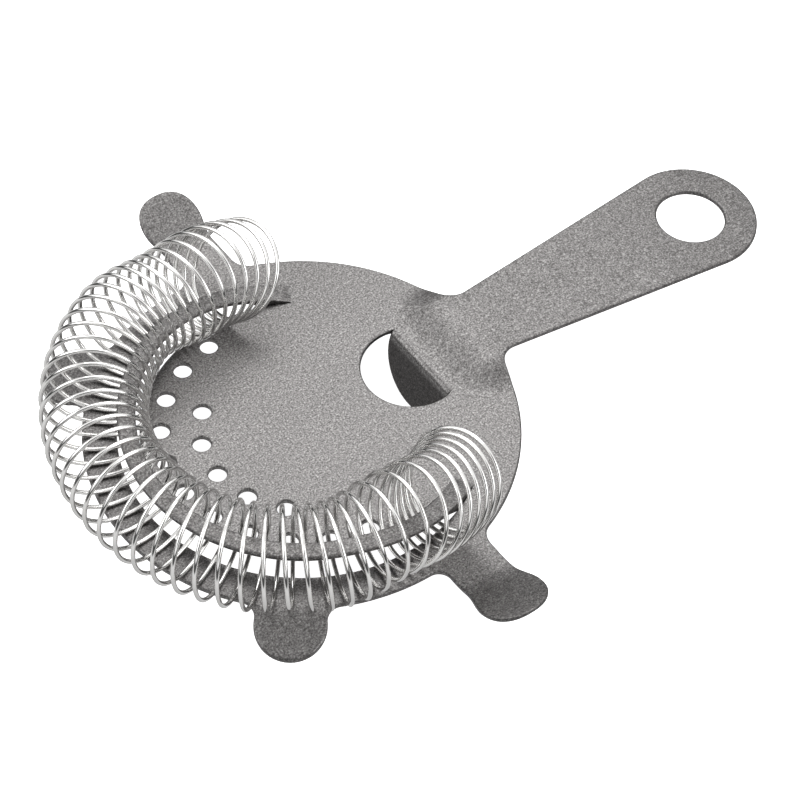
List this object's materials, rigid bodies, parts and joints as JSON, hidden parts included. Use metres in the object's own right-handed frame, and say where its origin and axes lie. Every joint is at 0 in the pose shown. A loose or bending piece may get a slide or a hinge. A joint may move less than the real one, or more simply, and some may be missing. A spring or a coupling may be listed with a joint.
{
  "type": "hawthorne strainer",
  "caption": "Round perforated bar strainer plate with a flat handle, four resting ears, a folded pouring lip and a wire coil wound round a raised strip along its front edge.",
  "frame": {"origin": "centre of the perforated disc, on the face that carries the coil", "axes": "+X from the disc centre along the handle, +Y across the handle towards one side ear, +Z out of the face that carries the coil"},
  "size_m": [0.159, 0.1238, 0.0324],
  "materials": {
    "tumbled_stainless_steel": "tumbled, fine grained satin",
    "polished_stainless_wire": "bright drawn wire"
  },
  "bodies": {
    "plate": {"strainer_plate": "tumbled_stainless_steel"},
    "coil": {"coil_spring": "polished_stainless_wire"}
  },
  "joints": [
    {"name": "coil_press", "type": "slide", "parent": "plate", "child": "coil", "axis": [1, 0, 0], "range_m": [0, 0.0012], "stiffness_N_per_m": 500}
  ]
}
